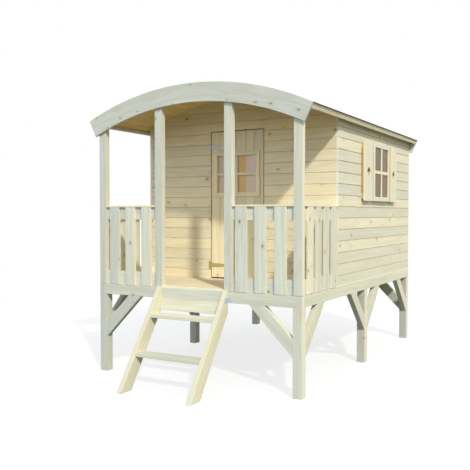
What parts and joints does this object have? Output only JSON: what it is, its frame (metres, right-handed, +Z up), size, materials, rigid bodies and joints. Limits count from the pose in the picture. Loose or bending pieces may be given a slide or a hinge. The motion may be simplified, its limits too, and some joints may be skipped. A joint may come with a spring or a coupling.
{
  "type": "raised wooden garden playhouse cabin",
  "caption": "Raised wooden garden cabin on legs with diagonal braces, covered porch with railings, stair, hinged door, side window with shutters and an arched felt roof.",
  "frame": {"origin": "on the ground, under the middle of the whole footprint, stair included", "axes": "+X to the right as seen from the stair, +Y from the stair towards the rear wall, +Z up"},
  "size_m": [1.966, 3.228, 2.256],
  "materials": {
    "frame_timber": "planed spruce",
    "planed_timber": "planed spruce",
    "wall_boards": "planed spruce boards",
    "floor_boards": "planed spruce boards",
    "glass": "clear pane",
    "roof_felt": "mineral roof felt",
    "zinc_steel": "blue zinc plated",
    "yellow_zinc_steel": "yellow zinc plated"
  },
  "bodies": {
    "root": {"arch_board_front": "planed_timber", "arch_board_rear": "planed_timber", "beam_front": "frame_timber", "beam_left": "frame_timber", "beam_middle": "frame_timber", "beam_rear": "frame_timber", "beam_right": "frame_timber", "cabin_floor": "floor_boards", "cross_braces": "frame_timber", "eave_boards": "planed_timber", "front_wall_left": "wall_boards", "front_wall_right": "wall_boards", "front_wall_top": "wall_boards", "hinge_plate_lower": "yellow_zinc_steel", "hinge_plate_upper": "zinc_steel", "left_wall": "wall_boards", "leg_front_left": "frame_timber", "leg_front_right": "frame_timber", "leg_middle_left": "frame_timber", "leg_middle_right": "frame_timber", "leg_rear_left": "frame_timber", "leg_rear_right": "frame_timber", "porch_floor": "floor_boards", "porch_post_inner_left": "planed_timber", "porch_post_inner_right": "planed_timber", "porch_post_outer_left": "planed_timber", "porch_post_outer_right": "planed_timber", "railing_front_left": "planed_timber", "railing_front_right": "planed_timber", "railing_left": "planed_timber", "railing_right": "planed_timber", "rear_wall": "wall_boards", "right_wall": "wall_boards", "roof_boards": "planed_timber", "roof_felt": "roof_felt", "shutters": "planed_timber", "side_braces_left": "frame_timber", "side_braces_right": "frame_timber", "side_window_frame": "planed_timber", "side_window_glass": "glass", "stair_bracket": "zinc_steel", "stair_hanger": "planed_timber", "stair_stringer_left": "planed_timber", "stair_stringer_right": "planed_timber", "stair_treads": "planed_timber"},
    "door": {"door_leaf": "planed_timber", "door_ledges": "planed_timber", "door_window_frame": "planed_timber", "door_glass": "glass", "door_strap_lower": "yellow_zinc_steel", "door_strap_upper": "zinc_steel"}
  },
  "joints": [
    {"name": "door_hinge", "type": "hinge", "parent": "root", "child": "door", "pos_m": [-0.253, -0.42648, 1.36], "axis": [0, 0, -1], "range_deg": [0, 160]}
  ]
}
